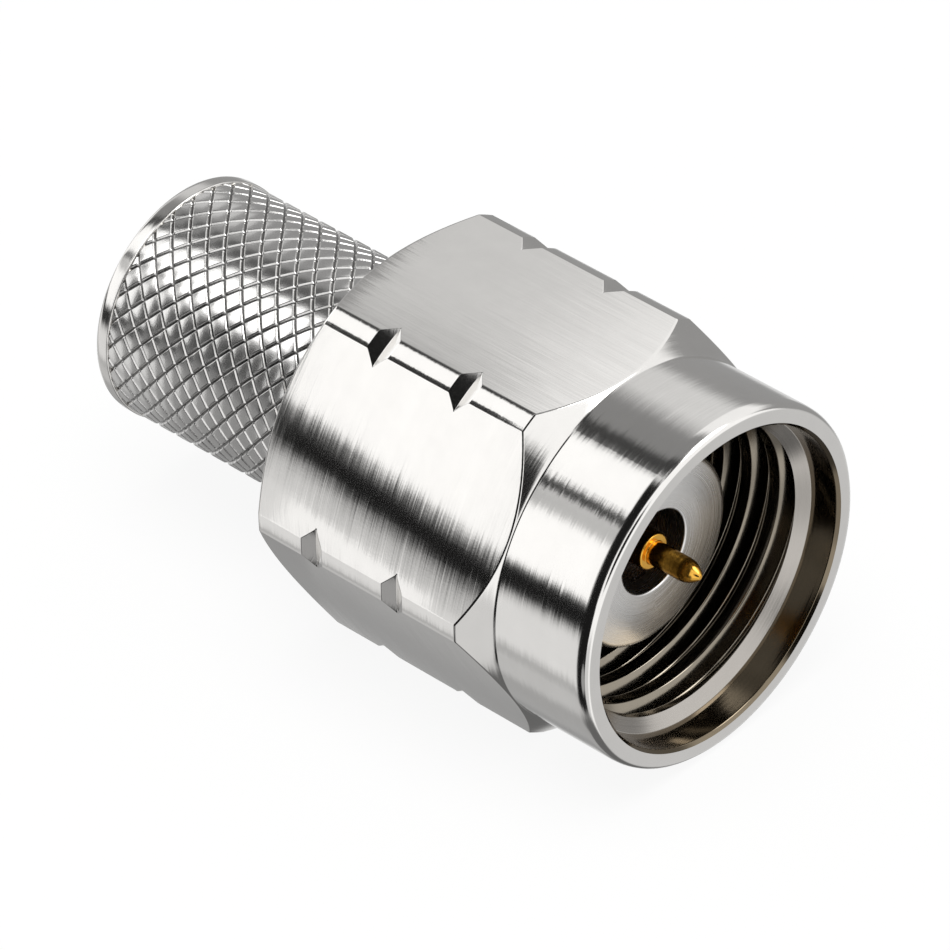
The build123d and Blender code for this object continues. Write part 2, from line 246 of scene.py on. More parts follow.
def sheet(x: Array, r: Array, angle: Array) -> Patch:
    """Closed surface round the axis from a grid of stations and radii.

    Row i, column j stands at x[i, j] and at radius r[i, j], turned by angle[j]. The last
    column joins the first. Rows that go towards -X give faces that point away from the
    axis, as on the outside of a body, and rows that go towards +X those of a bore.

    Args:
        x: (rows, columns) stations.
        r: (rows, columns) radii.
        angle: (columns,) angles in radians, rising, over one full turn.

    Returns:
        The surface. Its UV is the way along the profile and the angle times MAP_RADIUS.
    """
    rows, columns = x.shape
    step = np.hypot(np.diff(x, axis=0), np.diff(r, axis=0))
    way = np.concatenate([np.zeros((1, columns)), np.cumsum(step, axis=0)])
    turn = np.append(angle, angle[0] + TURN) * MAP_RADIUS
    grid = np.stack([np.concatenate([way, way[:, :1]], 1),
                     np.broadcast_to(turn, (rows, columns + 1))], -1)
    return Patch(around_axis(x, r, angle), cells(rows, columns, closed=True), cell_maps(grid))


def rounded(corners: Array, radii: Array, steps: int = 4) -> tuple[Array, Array]:
    """Profile lines with rounded corners, for many columns at once.

    Each corner with a radius gives way to a quadratic curve that starts and ends that far
    from the corner on its two lines, or at LINE_SHARE of a shorter line. The curve's
    points are (1-t)^2 of its start, 2t(1-t) of the corner and t^2 of its end.

    Args:
        corners: (corners, columns, 2) x and r of the corners.
        radii: (corners,) how far from each corner its rounding starts, 0 for a sharp one.
        steps: number of spans in each rounding.

    Returns:
        x and r, each (rows, columns).
    """
    rows = []
    t = np.linspace(0, 1, steps + 1)[:, None, None]
    last = len(corners) - 1
    for i, corner in enumerate(corners):
        if radii[i] <= 0 or i in (0, last):
            rows.append(corner[None])
            continue
        back, ahead = corners[i - 1] - corner, corners[i + 1] - corner
        lb = np.linalg.norm(back, axis=1, keepdims=True)
        la = np.linalg.norm(ahead, axis=1, keepdims=True)
        start = corner + back / np.maximum(lb, TINY) * np.minimum(radii[i], LINE_SHARE * lb)
        end = corner + ahead / np.maximum(la, TINY) * np.minimum(radii[i], LINE_SHARE * la)
        rows.append((1 - t) ** 2 * start + 2 * t * (1 - t) * corner + t**2 * end)
    line = np.concatenate(rows)
    return line[..., 0], line[..., 1]


def lathe(corners: list[tuple[float, float, float]], columns: int = 256) -> Patch:
    """Turned surface: a line of corners, each (x, r, rounding), swept round the axis.

    Args:
        corners: the profile, in the order that gives outward faces.
        columns: number of columns round the axis.

    Returns:
        The surface.
    """
    line = np.array(corners, float)
    angle = np.linspace(0, TURN, columns, endpoint=False) - math.pi / 2
    x, r = rounded(line[:, None, :2], line[:, 2])
    wide = np.ones((1, columns))
    return sheet(x * wide, r * wide, angle)


# Shader helpers


class Nodes:
    """A node tree under construction, with short ways to add and link nodes."""

    def __init__(self, tree: bpy.types.NodeTree) -> None:
        """Keep the tree."""
        self.tree = tree

    def add(self, kind: str, **settings: object) -> bpy.types.Node:
        """Add a node and set its plain properties.

        Args:
            kind: the node's type name.
            settings: properties to set on it.

        Returns:
            The node.
        """
        node = self.tree.nodes.new(kind)
        for key, value in settings.items():
            setattr(node, key, value)
        return node

    def link(self, source: object, target: object) -> None:
        """Link an output to an input, or set the input if source is a plain value."""
        if isinstance(source, bpy.types.NodeSocket):
            self.tree.links.new(source, target)
        else:
            target.default_value = source

    def math(self, operation: str, a: object, b: object = 0.0, c: object = 0.0,
             clamp: bool = False) -> bpy.types.NodeSocket:
        """Add a Math node.

        Args:
            operation: the Math node's operation.
            a: first value or socket.
            b: second value or socket.
            c: third value or socket.
            clamp: whether the result is held between 0 and 1.

        Returns:
            Its output.
        """
        node = self.add("ShaderNodeMath", operation=operation, use_clamp=clamp)
        for i, value in enumerate((a, b, c)):
            self.link(value, node.inputs[i])
        return node.outputs[0]

    def span(self, value: object, low: float, high: float, to_low: float = 0.0,
             to_high: float = 1.0) -> bpy.types.NodeSocket:
        """Map a value from one span to another, smoothly and held at the ends.

        Args:
            value: the value or socket.
            low: start of the span it comes from.
            high: end of that span.
            to_low: start of the span it goes to.
            to_high: end of that span.

        Returns:
            The mapped value.
        """
        node = self.add("ShaderNodeMapRange", interpolation_type="SMOOTHSTEP")
        for i, number in enumerate((value, low, high, to_low, to_high)):
            self.link(number, node.inputs[i])
        return node.outputs[0]

    def noise(self, vector: object, scale: float, detail: float = 2.0,
              rough: float = 0.5) -> bpy.types.NodeSocket:
        """Add a Noise Texture.

        Args:
            vector: its coordinates.
            scale: its scale.
            detail: its number of octaves.
            rough: how strong each next octave is.

        Returns:
            Its value from 0 to 1.
        """
        node = self.add("ShaderNodeTexNoise")
        self.link(vector, node.inputs["Vector"])
        for key, value in (("Scale", scale), ("Detail", detail), ("Roughness", rough)):
            self.link(value, node.inputs[key])
        return node.outputs["Fac"]

    def vector(self, operation: str, a: object, b: object = (0, 0, 0)) -> bpy.types.NodeSocket:
        """Add a Vector Math node of two vectors and return its output."""
        node = self.add("ShaderNodeVectorMath", operation=operation)
        self.link(a, node.inputs[0])
        self.link(b, node.inputs[1])
        return node.outputs["Value" if operation == "DOT_PRODUCT" else "Vector"]

    def scaled(self, vector: object, factor: object) -> bpy.types.NodeSocket:
        """Multiply a vector by a number."""
        node = self.add("ShaderNodeVectorMath", operation="SCALE")
        self.link(vector, node.inputs[0])
        self.link(factor, node.inputs["Scale"])
        return node.outputs["Vector"]

    def blend(self, factor: object, first: object, second: object) -> bpy.types.NodeSocket:
        """Mix two colours, each a socket or plain numbers.

        Args:
            factor: share of the second colour.
            first: the first colour.
            second: the second colour.

        Returns:
            The mixed colour.
        """
        node = self.add("ShaderNodeMix", data_type="RGBA")
        for key, value in (("Factor", factor), ("A", first), ("B", second)):
            self.link(value, node.inputs[key])
        return node.outputs["Result"]

    def bump(self, height: object, distance: float) -> bpy.types.Node:
        """Add a Bump node of full strength, with its distance in millimetres."""
        node = self.add("ShaderNodeBump")
        node.inputs["Strength"].default_value = 1.0
        node.inputs["Distance"].default_value = distance * MM
        self.link(height, node.inputs["Height"])
        return node


def effect(name: str, inputs: dict[str, tuple[str, object]], outputs: dict[str, str]) -> Nodes:
    """Start a shader node group with named sockets.

    Args:
        name: the group's name.
        inputs: socket name to its type name and default value.
        outputs: socket name to its type name.

    Returns:
        The nodes of the new group.
    """
    tree = bpy.data.node_groups.new(name, "ShaderNodeTree")
    for key, (kind, value) in inputs.items():
        socket = tree.interface.new_socket(key, in_out="INPUT", socket_type=kind)
        if value is not None:
            socket.default_value = value
    for key, kind in outputs.items():
        tree.interface.new_socket(key, in_out="OUTPUT", socket_type=kind)
    return Nodes(tree)


def start_material(name: str, metallic: float) -> tuple[bpy.types.Material, Nodes, bpy.types.Node]:
    """Start a material with the usual shader.

    Args:
        name: its name.
        metallic: how metallic the shader is.

    Returns:
        The material, its nodes and its shader.
    """
    made = bpy.data.materials.new(name)
    made.use_nodes = True
    shader = made.node_tree.nodes["Principled BSDF"]
    shader.inputs["Metallic"].default_value = metallic
    return made, Nodes(made.node_tree), shader


def toned(colour: Colour, factor: float) -> tuple[float, ...]:
    """Colour times a factor, held to 1, with the alpha behind it."""
    return (*(min(c * factor, 1) for c in colour), 1)


FLOAT, VECTOR = "NodeSocketFloat", "NodeSocketVector"

MARK_OCTAVES = 0.62          # how strong each next octave of the tool marks' noise is
COARSE_SHARE = 0.4           # share of the coarse noise in the marks' height
STROKE_SPAN = (0.62, 0.74)   # noise values between which a single long stroke comes up
STROKE_TURN = 0.35           # what a stroke adds to the turn round the axis
BROAD_SCALE = 0.12           # scale of the grain's broad noise over that of its fine one


def tool_marks() -> bpy.types.NodeTree:
    """Group of long fine marks that run round the axis.

    Noises are stretched along V, fine and coarse. They turn the normal N by small angles:
    N + T * tilt + S * slant, where T runs round the axis and S is across both T and N.

    Returns:
        The node group, with a Normal output, and Height, Strokes and Tone from 0 to 1.
    """
    found = bpy.data.node_groups.get("tool_marks")
    if found:
        return found
    nodes = effect("tool_marks", {"Vector": (VECTOR, None), "Place": (VECTOR, None),
                                  "Across": (FLOAT, 16.0), "Along": (FLOAT, 0.4),
                                  "Tilt": (FLOAT, 0.05), "Slant": (FLOAT, 0.05)},
                   {"Normal": VECTOR, "Height": FLOAT, "Strokes": FLOAT, "Tone": FLOAT})
    source = nodes.add("NodeGroupInput")
    result = nodes.add("NodeGroupOutput")
    split = nodes.add("ShaderNodeSeparateXYZ")
    nodes.link(source.outputs["Vector"], split.inputs[0])

    def layer(times: float, shift: float, detail: float) -> bpy.types.NodeSocket:
        """Noise with the group's stretch, at a multiple of its fineness."""
        across = nodes.math("MULTIPLY", split.outputs["X"], source.outputs["Across"])
        along = nodes.math("MULTIPLY", split.outputs["Y"], source.outputs["Along"])
        made = nodes.add("ShaderNodeCombineXYZ")
        nodes.link(nodes.math("MULTIPLY", across, times), made.inputs["X"])
        nodes.link(nodes.math("MULTIPLY", along, math.sqrt(times)), made.inputs["Y"])
        nodes.link(shift, made.inputs["Z"])
        return nodes.noise(made.outputs[0], 1.0, detail, MARK_OCTAVES)

    fine = layer(times=1.0, shift=3.7, detail=3.0)
    coarse = layer(times=0.35, shift=9.1, detail=2.0)
    other = layer(times=1.3, shift=23.9, detail=3.0)
    broad = layer(times=0.06, shift=17.3, detail=1.0)
    strokes = nodes.span(layer(times=1.6, shift=41.3, detail=2.0), *STROKE_SPAN)
    height = nodes.math("MULTIPLY_ADD", coarse, COARSE_SHARE,
                        nodes.math("MULTIPLY", fine, 1 - COARSE_SHARE))
    uneven = nodes.math("MULTIPLY_ADD", strokes, STROKE_TURN, nodes.math("SUBTRACT", height, 0.5))
    tilt = nodes.math("MULTIPLY", uneven, source.outputs["Tilt"])
    slant = nodes.math("MULTIPLY", nodes.math("SUBTRACT", other, 0.5), source.outputs["Slant"])

    normal = nodes.add("ShaderNodeNewGeometry").outputs["Normal"]
    around = nodes.vector("CROSS_PRODUCT", (1, 0, 0), source.outputs["Place"])
    around = nodes.vector("NORMALIZE", around)
    beside = nodes.vector("CROSS_PRODUCT", around, normal)
    turned = nodes.vector("ADD", normal, nodes.scaled(around, tilt))
    turned = nodes.vector("ADD", turned, nodes.scaled(beside, slant))
    nodes.link(nodes.vector("NORMALIZE", turned), result.inputs["Normal"])
    nodes.link(height, result.inputs["Height"])
    nodes.link(strokes, result.inputs["Strokes"])
    nodes.link(broad, result.inputs["Tone"])
    return nodes.tree


def fine_grain() -> bpy.types.NodeTree:
    """Group of even satin grain: a fine noise in object space, and a broad one for the tone.

    Returns:
        The node group, with Height and Tone outputs from 0 to 1.
    """
    found = bpy.data.node_groups.get("fine_grain")
    if found:
        return found
    nodes = effect("fine_grain", {"Vector": (VECTOR, None), "Scale": (FLOAT, 20000.0)},
                   {"Height": FLOAT, "Tone": FLOAT})
    source = nodes.add("NodeGroupInput")
    result = nodes.add("NodeGroupOutput")
    fine = nodes.noise(source.outputs["Vector"], source.outputs["Scale"], 2.0, 0.6)
    broad_scale = nodes.math("MULTIPLY", source.outputs["Scale"], BROAD_SCALE)
    nodes.link(fine, result.inputs["Height"])
    nodes.link(nodes.noise(source.outputs["Vector"], broad_scale, 2.0, 0.5), result.inputs["Tone"])
    return nodes.tree


@dataclass(frozen=True)
class Metal:
    """Bare metal finish with tool marks and grain.

    across and along are the marks' waves for each millimetre, tilt and slant how far they
    turn the normal round the axis and across it, and grain is a bump height in millimetres.
    spread is how far the marks move the roughness, and tint how far the colour goes up and
    down. A finish with paints_groove_shade set goes down to groove_shade of its colour as the
    mesh's groove attribute goes from groove_from to 1: painted shade in the groove bottoms.
    painted_reflection_share is the share of its colour that a finish keeps where it is seen in
    another surface's reflection: a painted darker reflection.
    """

    name: str
    colour: Colour
    roughness: float
    spread: float = 0.03
    across: float = 16.0
    along: float = 0.4
    tilt: float = 0.0
    slant: float = 0.0
    grain: float = 0.0
    grain_size: float = 22000.0
    tint: float = 0.06
    paints_groove_shade: bool = False
    groove_from: float = 0.55
    groove_shade: float = 0.30
    painted_reflection_share: float = 1.0

    def material(self) -> bpy.types.Material:
        """Build the material, or return it if it is there already.

        Returns:
            The material.
        """
        found = bpy.data.materials.get(self.name)
        if found:
            return found
        made, nodes, shader = start_material(self.name, 1.0)
        uv = nodes.add("ShaderNodeUVMap", uv_map="UVMap").outputs["UV"]
        place = nodes.add("ShaderNodeTexCoord").outputs["Object"]

        marks = nodes.add("ShaderNodeGroup", node_tree=tool_marks())
        for key, value in (("Vector", uv), ("Place", place), ("Across", self.across),
                           ("Along", self.along), ("Tilt", self.tilt), ("Slant", self.slant)):
            nodes.link(value, marks.inputs[key])
        grain = nodes.add("ShaderNodeGroup", node_tree=fine_grain())
        nodes.link(place, grain.inputs["Vector"])
        grain.inputs["Scale"].default_value = self.grain_size

        half_grain = nodes.math("MULTIPLY", grain.outputs["Tone"], 0.5)
        shade = nodes.math("MULTIPLY_ADD", marks.outputs["Tone"], 0.5, half_grain)
        colour = nodes.blend(shade, toned(self.colour, 1 - self.tint),
                             toned(self.colour, 1 + self.tint))
        # Painted shade: the colour darkens towards the bottoms of the knurl's grooves, where shade
        # falls.
        if self.paints_groove_shade:
            deep = nodes.add("ShaderNodeAttribute", attribute_name="groove").outputs["Fac"]
            colour = nodes.blend(nodes.span(deep, self.groove_from, 1.0), colour,
                                 toned(self.colour, self.groove_shade))
        # Painted reflection: the colour is darker where another surface reflects this one.
        if self.painted_reflection_share < 1:
            mirrored = nodes.add("ShaderNodeLightPath").outputs["Is Glossy Ray"]
            colour = nodes.blend(mirrored, colour, toned(self.colour, self.painted_reflection_share))
        nodes.link(colour, shader.inputs["Base Color"])

        uneven = nodes.math("MULTIPLY_ADD", marks.outputs["Height"], 2 * self.spread,
                            self.roughness - self.spread)
        nodes.link(nodes.math("MULTIPLY_ADD", marks.outputs["Strokes"], self.spread, uneven,
                              clamp=True), shader.inputs["Roughness"])

        specks = nodes.bump(grain.outputs["Height"], self.grain)
        nodes.link(marks.outputs["Normal"], specks.inputs["Normal"])
        nodes.link(specks.outputs["Normal"], shader.inputs["Normal"])
        return made


@dataclass(frozen=True)
class Solid:
    """Plain finish of an inner piece that has no texture map, with a fine grain.

    grain is its height in millimetres, spread how far it moves the roughness, and dark and
    pale are the factors between which it moves the colour.
    """

    name: str
    colour: Colour
    roughness: float
    metallic: float
    grain: float = 0.0004
    spread: float = 0.05
    dark: float = 0.90
    pale: float = 1.08

    def material(self) -> bpy.types.Material:
        """Build the material, or return it if it is there already.

        Returns:
            The material.
        """
        found = bpy.data.materials.get(self.name)
        if found:
            return found
        made, nodes, shader = start_material(self.name, self.metallic)
        place = nodes.add("ShaderNodeTexCoord").outputs["Object"]
        grain = nodes.add("ShaderNodeGroup", node_tree=fine_grain())
        nodes.link(place, grain.inputs["Vector"])
        tone = grain.outputs["Tone"]
        nodes.link(nodes.blend(tone, toned(self.colour, self.dark), toned(self.colour, self.pale)),
                   shader.inputs["Base Color"])
        nodes.link(nodes.math("MULTIPLY_ADD", tone, 2 * self.spread, self.roughness - self.spread),
                   shader.inputs["Roughness"])
        nodes.link(nodes.bump(grain.outputs["Height"], self.grain).outputs["Normal"],
                   shader.inputs["Normal"])
        return made


STEEL: Colour = (0.80, 0.785, 0.763)
NUT_STEEL = Metal("nut_steel_ground", STEEL, 0.11, across=34.0, along=0.45, tilt=0.10,
                  slant=0.08, grain=0.0003)
# The mouth, thread and counterbore are the nut's own steel, darkened and warmed: painted shade inside
# the nut.
MOUTH_SHADED_STEEL = Metal("nut_steel_mouth_painted_shade", (0.44, 0.415, 0.385), 0.20, across=26.0, along=0.12,
                    tilt=0.04, slant=0.10, grain=0.0003)
THREAD_SHADED_STEEL = Metal("nut_steel_thread_painted_shade", (0.27, 0.24, 0.195), 0.13, across=26.0, along=0.12,
                     tilt=0.04, slant=0.08, grain=0.0003)
BORE_SHADED_STEEL = Metal("nut_steel_counterbore_painted_shade", (0.21, 0.172, 0.122), 0.12, across=26.0, along=0.12,
                   tilt=0.04, slant=0.08, grain=0.0002)
# The ferrule keeps only about a third of its colour in reflections: a painted darker reflection of its
# face in the pin.
FACE_STEEL = Metal("ferrule_steel_faced", (0.79, 0.78, 0.765), 0.27, across=26.0, along=0.10,
                   tilt=0.04, slant=0.18, grain=0.0002, tint=0.10, painted_reflection_share=0.32)
# The knurl's finish paints shade into its groove bottoms.
KNURL_STEEL = Metal("sleeve_steel_satin", (0.78, 0.77, 0.755), 0.19, across=8.0, along=2.0,
                    grain=0.0012, grain_size=26000.0, paints_groove_shade=True)
LIP_STEEL = Metal("sleeve_steel_turned", STEEL, 0.14, across=24.0, along=0.3, tilt=0.08,
                  slant=0.08, grain=0.0002)
GOLD = Metal("pin_gold_polished", (0.82, 0.44, 0.07), 0.17, spread=0.02, across=14.0, along=0.4,
             tilt=0.04, slant=0.20, tint=0.08)
INNER_GOLD = Solid("gold_plate_inner", (0.90, 0.62, 0.22), 0.2, 1.0)
INNER_BRASS = Solid("turned_brass", (0.74, 0.60, 0.34), 0.3, 1.0)
SPRING_BRONZE = Solid("turned_spring_bronze", (0.62, 0.42, 0.24), 0.3, 1.0)
SPRING_STEEL = Solid("drawn_spring_steel", (0.55, 0.55, 0.56), 0.3, 1.0)
# The bead's amber polymer is darkened to near black: partly its own colour, partly painted shade inside
# the bore.
BEAD = Solid("bead_polymer_smooth", (0.06, 0.03, 0.012), 0.4, 0.0)
CERAMIC = Solid("resistive_film", (0.05, 0.05, 0.05), 0.5, 0.0)


# The pieces

FLANK_ANGLE = 30      # degrees between a flank of the thread and a plane across the axis
CREST_ROUND = 0.6     # depth of a flank's first place over that on a straight flank
LEVEL_X = 0.03        # largest X part of a normal on a flat or a turned corner
FLAT_TURN = 1.5       # largest turn of a normal from its flat's own, in degrees
STRIP_END = 1.01      # end of a turned corner's strip in half widths, with a little room
ON_FACE = 0.004       # largest way of a point from the face that it is counted with
NEAR = 0.001          # the same for the top flat


@dataclass
class CouplingNut:
    """Hexagon nut with turned collar, V cuts in its corners, bored and threaded mouth.

    flat is half the width across flats and turned the radius of the turned corners. The
    cones meet the corners at hex_front and hex_rear, and their slopes are the way along X
    for each millimetre of radius. cuts are the stations of the V cuts. ring_groove is the
    front, the rear and the radius of the ring's groove. Fields that end in round, and
    collar_foot, say how far from a corner its rounding starts.

    soft_edge is the way in degrees between the columns at an edge, and spans the number of
    columns over half a flat, over the slope of a V cut and over half a turned corner. crown
    and corner_crown are the turns of the shading normals across a flat and a corner, and
    lift their lean towards +X at the front and the rear of a flat, all in degrees. rolled
    is the angle of the flat that follows the roll's table instead, which gives turns for
    places across it, moved on by roll_twist along it.
    """

    flat: float = 4.0
    turned: float = 4.5
    collar: float = 3.97
    front: float = 1.79
    hex_front: float = -1.19
    hex_rear: float = -6.55
    front_slope: float = 1.07
    rear_slope: float = 0.70
    rear_r: float = 3.65
    cuts: tuple[float, float] = (-2.89, -5.08)
    cut_half: float = 0.28
    cut_depth: float = 0.135
    cut_least: float = 0.06
    cut_round: float = 0.012
    cut_root_round: float = 0.010
    corner_round: float = 0.035
    collar_round: float = 0.30
    collar_foot: float = 0.16
    foot_ahead: float = 0.05
    rear_round: float = 0.05
    rear_bore_round: float = 0.03
    bore: float = 3.50
    edge_break: float = 0.07
    edge_round: float = 0.02
    ledge: float = 1.12
    lead_r: float = 3.44
    lead_round: float = 0.015
    lead_end: float = 0.93
    crest: float = 3.17
    root: float = 3.50
    pitch: float = 0.75
    thread_end: float = -2.0
    thread_soft: float = 0.02
    thread_run: float = 0.10
    relief_r: float = 3.55
    relief_end: float = -2.45
    relief_round: float = 0.02
    flange_bore: float = 2.75
    ring_groove: tuple[float, float, float] = (-3.19, -3.51, 2.90)
    shoulder: float = -5.05
    rear_bore: float = 2.60
    soft_edge: float = 0.3
    spans: tuple[int, int, int] = (18, 7, 4)
    crown: float = 3.0
    corner_crown: float = 9.0
    lift: tuple[float, float] = (2.8, -1.0)
    rolled: int = 150
    roll: tuple[tuple[float, ...], tuple[float, ...]] = (
        (-0.91, -0.03, 0.086, 0.186, 0.286, 0.35, 0.50, 0.586, 0.686, 0.886, 0.986, 1.09),
        (-2.0, 2.2, 4.3, 6.0, 6.8, 7.6, 12.6, 13.7, 15.2, 16.2, 18.0, 19.0))
    roll_twist: float = 0.26

    def columns(self) -> tuple[Array, Array]:
        """Angles of the columns, set close at the edges of the flats.

        Returns:
            The angles over one turn, and the radius of the hexagon at each: the half
            width across flats over the cosine of the angle from the nearest flat's middle.
        """
        edge = math.acos(self.flat / self.turned)
        low = math.acos(self.flat / (self.turned - self.cut_depth))
        fine = math.radians(self.soft_edge)
        half = np.concatenate([
            np.linspace(0, low - fine, self.spans[0]), [low],
            np.linspace(low + fine, edge - fine, self.spans[1]), [edge],
            np.linspace(edge + fine, math.pi / 6, self.spans[2])])
        sector = np.concatenate([-half[:0:-1], half[:-1]])
        angle = np.concatenate([sector + math.pi / 3 * k for k in range(6)]) - math.pi / 2
        radius = np.tile(self.flat / np.cos(sector), 6)
        return angle, radius

    def outside(self) -> Patch:
        """Collar, cones, flats, turned corners with their V cuts, and the rear face.

        A column's radius between the cones is the smaller of the hexagon's and the turned
        corner's. The cones meet it where their lines reach that radius. The top flat has U
        and V changed over, so its tool marks run along the axis.

        Returns:
            The surface.
        """
        angle, hexagon = self.columns()
        top = np.minimum(hexagon, self.turned)
        meets_front = self.hex_front + self.front_slope * (self.turned - top)
        meets_rear = self.hex_rear - self.rear_slope * (self.turned - top)
        root = self.turned - self.cut_depth
        share = np.clip((top - root) / self.cut_depth, self.cut_least, 1)
        bottom = np.minimum(hexagon, root)
        collar_back = self.hex_front + self.front_slope * (self.turned - self.collar)
        rear = self.hex_rear - self.rear_slope * (self.turned - self.rear_r)
        lines: list[tuple[Array | float, Array | float, float]] = [
            (self.front, self.bore + self.edge_break, 0.0),
            (self.front, self.collar, self.collar_round),
            (collar_back + self.foot_ahead, self.collar, 0.0),
            (collar_back, self.collar, self.collar_foot),
            (meets_front, top, self.corner_round),
        ]
        for cut in self.cuts:
            edge = np.where(share > self.cut_least,
                            np.minimum(top, root + share * self.cut_depth), top)
            lines += [
                (cut + share * self.cut_half, edge, self.cut_round),
                (cut, bottom, self.cut_root_round),
                (cut - share * self.cut_half, edge, self.cut_round),
            ]
        lines += [
            (meets_rear, top, self.corner_round),
            (rear, self.rear_r, self.rear_round),
            (rear, self.rear_bore, self.rear_bore_round),
            (self.shoulder, self.rear_bore, 0.0),
        ]
        corners = np.stack([np.stack(np.broadcast_arrays(x, r, top)[:2], -1) for x, r, _ in lines])
        x, r = rounded(corners, np.array([rounding for _, _, rounding in lines]))
        patch = sheet(x, r, angle)
        on_top = (patch.points[patch.quads][..., 2] > self.flat - NEAR).all(1)
        patch.uv[on_top] = patch.uv[on_top][..., ::-1]
        return patch

    def counterbore(self) -> Patch:
        """Smooth wall between the ledge and the front, with the broken edge.

        Returns:
            The surface.
        """
        return lathe([
            (self.ledge, self.bore, 0.0),
            (self.front - self.edge_break, self.bore, self.edge_round),
            (self.front, self.bore + self.edge_break, 0.0)])

    def mouth(self) -> Patch:
        """Ledge, lead-in, relief and what is behind it inside the nut, without the thread.

        Returns:
            The surface.
        """
        groove_front, groove_rear, groove_r = self.ring_groove
        entry = lathe([
            (self.lead_end, self.crest, 0.0), (self.ledge, self.lead_r, self.lead_round),
            (self.ledge, self.bore, 0.0)])
        rear = lathe([
            (self.shoulder, self.rear_bore, 0.0), (self.shoulder, self.flange_bore, 0.0),
            (groove_rear, self.flange_bore, 0.0), (groove_rear, groove_r, 0.0),
            (groove_front, groove_r, 0.0), (groove_front, self.flange_bore, 0.0),
            (self.relief_end, self.flange_bore, self.relief_round),
            (self.relief_end, self.relief_r, 0.0), (self.thread_end, self.relief_r, 0.0),
            (self.thread_end, self.crest, 0.0)])
        return join([entry, rear])

    def thread(self, columns: int = 240) -> Patch:
        """Helical thread: the profile of one pitch, repeated, moves on by a pitch each turn.

        The radius goes crest, flank, root, flank, with a flat root an eighth of the pitch
        wide. Each corner has a place thread_soft before it and one behind it, and the ones on
        the flanks beside the crest are drawn towards it, which rounds it. At each end, where
        the tool runs in and out, the radius is drawn in to the crest over thread_run.

        Args:
            columns: number of columns round the axis.

        Returns:
            The surface, from the lead-in back to the relief.
        """
        depth = self.root - self.crest
        flank = depth * math.tan(math.radians(FLANK_ANGLE))
        root_flat = self.pitch / 8
        crest_flat = self.pitch - root_flat - 2 * flank
        falls, low = crest_flat / 2, crest_flat / 2 + flank
        climbs, high = low + root_flat, self.pitch - falls
        soft = self.thread_soft
        way = np.array([0, falls - soft, falls + soft, low - soft, low + soft, self.pitch / 2,
                        climbs - soft, climbs + soft, high - soft, high + soft])
        tall = np.interp(way, [0, falls, low, climbs, high, self.pitch], [0, 0, 1, 1, 0, 0])
        tall[[2, 8]] *= CREST_ROUND
        turns = math.ceil((self.lead_end - self.thread_end) / self.pitch) + 2
        way = (way + self.pitch * np.arange(turns)[:, None]).ravel()
        tall = np.tile(tall, turns)
        angle = np.linspace(0, TURN, columns + 1) - math.pi / 2
        x = self.lead_end - way[::-1, None] + self.pitch * (angle[None] - angle[0]) / TURN
        x = np.clip(x, self.thread_end, self.lead_end)
        run_in = np.clip((self.lead_end - x) / self.thread_run, 0, 1)
        run_out = np.clip((x - self.thread_end) / self.thread_run, 0, 1)
        r = self.crest + depth * tall[::-1, None] * np.minimum(run_in, run_out)
        grid = np.stack(np.broadcast_arrays(way[:, None], angle * MAP_RADIUS), -1)
        return Patch(around_axis(x, r, angle), cells(*x.shape)[:, ::-1], cell_maps(grid)[:, ::-1])

    def bent(self, points: Array, normals: Array) -> Array:
        """Turn the shading normals of the flats and the turned corners a little about X.

        With t from -1 to 1 across a flat, its normal turns by crown * t degrees. On the
        rolled flat the turn is read from the roll's table instead, at t plus roll_twist
        times the share of the way along the flat. With s from -1 to 1 across a corner's
        strip, the normal turns by corner_crown * s^3 more than the strip's own. Along a
        flat the normal leans towards +X, from the first lift at its front to the second.
        The flats face 90 degrees and every 60 from there, with the corners halfway between.

        Args:
            points: (n, 3) places.
            normals: (n, 3) unit normals.

        Returns:
            The normals, changed on the flats and the strips only.
        """
        angle = np.degrees(np.arctan2(normals[:, 2], normals[:, 1]))
        level = np.abs(normals[:, 0]) < LEVEL_X
        flat = np.round((angle - 90) / 60) * 60 + 90
        at = np.radians(flat)
        off = points[:, 1] * np.cos(at) + points[:, 2] * np.sin(at) - self.flat
        on_flat = level & (np.abs(angle - flat) < FLAT_TURN) & (np.abs(off) < ON_FACE)
        half = math.sqrt(self.turned**2 - self.flat**2)
        t = (points[:, 2] * np.cos(at) - points[:, 1] * np.sin(at)) / half
        way = (points[:, 0] - self.hex_front) / (self.hex_rear - self.hex_front)
        rolled = np.interp(t + self.roll_twist * way, *self.roll)
        turn = np.where(np.abs((flat - self.rolled + 180) % 360 - 180) < 1, rolled, self.crown * t)

        place = np.degrees(np.arctan2(points[:, 2], points[:, 1]))
        corner = np.round(place / 60) * 60
        strip = 30 - math.degrees(math.acos(self.flat / self.turned))
        s = (place - corner) / strip
        radius = np.hypot(points[:, 1], points[:, 2])
        on_strip = level & (np.abs(s) < STRIP_END) & (np.abs(radius - self.turned) < ON_FACE)
        to = np.where(on_strip, place + self.corner_crown * s**3, flat + turn)
        new = np.radians(to)
        lean = np.where(on_flat, np.radians(self.lift[0] + (self.lift[1] - self.lift[0]) * way), 0)
        bent = np.stack([np.sin(lean), np.cos(lean) * np.cos(new), np.cos(lean) * np.sin(new)], -1)
        return np.where((on_flat | on_strip)[:, None], bent, normals)

    def build(self) -> list[bpy.types.Object]:
        """Make the nut's four pieces, which stand for its node.

        Returns:
            The outside, the counterbore, the mouth and the thread.
        """
        outside = to_mesh("nut_outside", self.outside(), NUT_STEEL.material(), self.bent)
